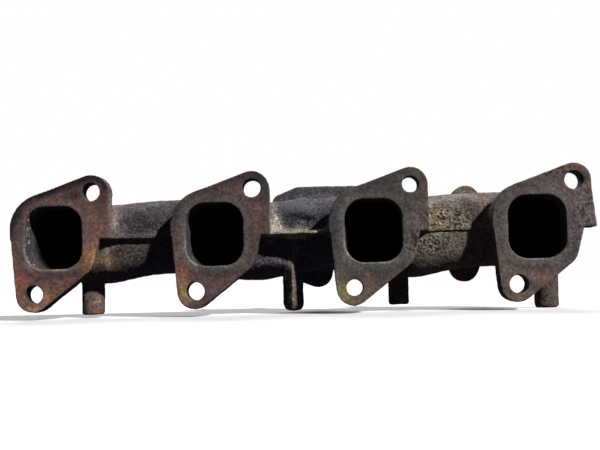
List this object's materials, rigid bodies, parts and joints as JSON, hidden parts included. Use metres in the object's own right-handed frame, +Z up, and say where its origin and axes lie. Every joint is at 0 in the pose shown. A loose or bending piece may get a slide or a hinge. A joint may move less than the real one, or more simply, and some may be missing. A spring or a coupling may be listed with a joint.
{
  "type": "exhaust manifold",
  "caption": "Cast iron log exhaust manifold: a row of slanted port flanges on a shared tube, with a triangular outlet flange, a small EGR flange and cast pegs.",
  "frame": {"origin": "middle of the port row, in the plane of the head joint", "axes": "+X along the port row from port_flange_1 to port_flange_4, +Y away from the cylinder head towards the outlet flange, +Z up as fitted"},
  "size_m": [0.3611, 0.11, 0.0892],
  "materials": {
    "cast_iron": "sand-cast, scaled and lightly rusted",
    "flange_iron": "machined flat, rust-brown and heat-stained",
    "stud_steel": "dull, threaded, lightly rusted"
  },
  "bodies": {
    "root": {"port_flange_1": "flange_iron", "port_flange_2": "flange_iron", "port_flange_3": "flange_iron", "port_flange_4": "flange_iron", "runner_1": "cast_iron", "runner_2": "cast_iron", "runner_3": "cast_iron", "runner_4": "cast_iron", "log_section_1": "cast_iron", "log_section_2": "cast_iron", "log_section_3": "cast_iron", "log_section_4": "cast_iron", "ledge_1_2": "cast_iron", "ledge_2_3": "cast_iron", "ledge_3_4": "cast_iron", "outlet_neck": "cast_iron", "outlet_flange": "flange_iron", "outlet_stud_1": "stud_steel", "outlet_stud_2": "stud_steel", "outlet_stud_3": "stud_steel", "egr_neck": "cast_iron", "egr_flange": "flange_iron", "egr_stud_1": "stud_steel", "egr_stud_2": "stud_steel", "cast_peg_1": "cast_iron", "cast_peg_2": "cast_iron", "cast_peg_3": "cast_iron", "cast_peg_4": "cast_iron"}
  },
  "joints": []
}
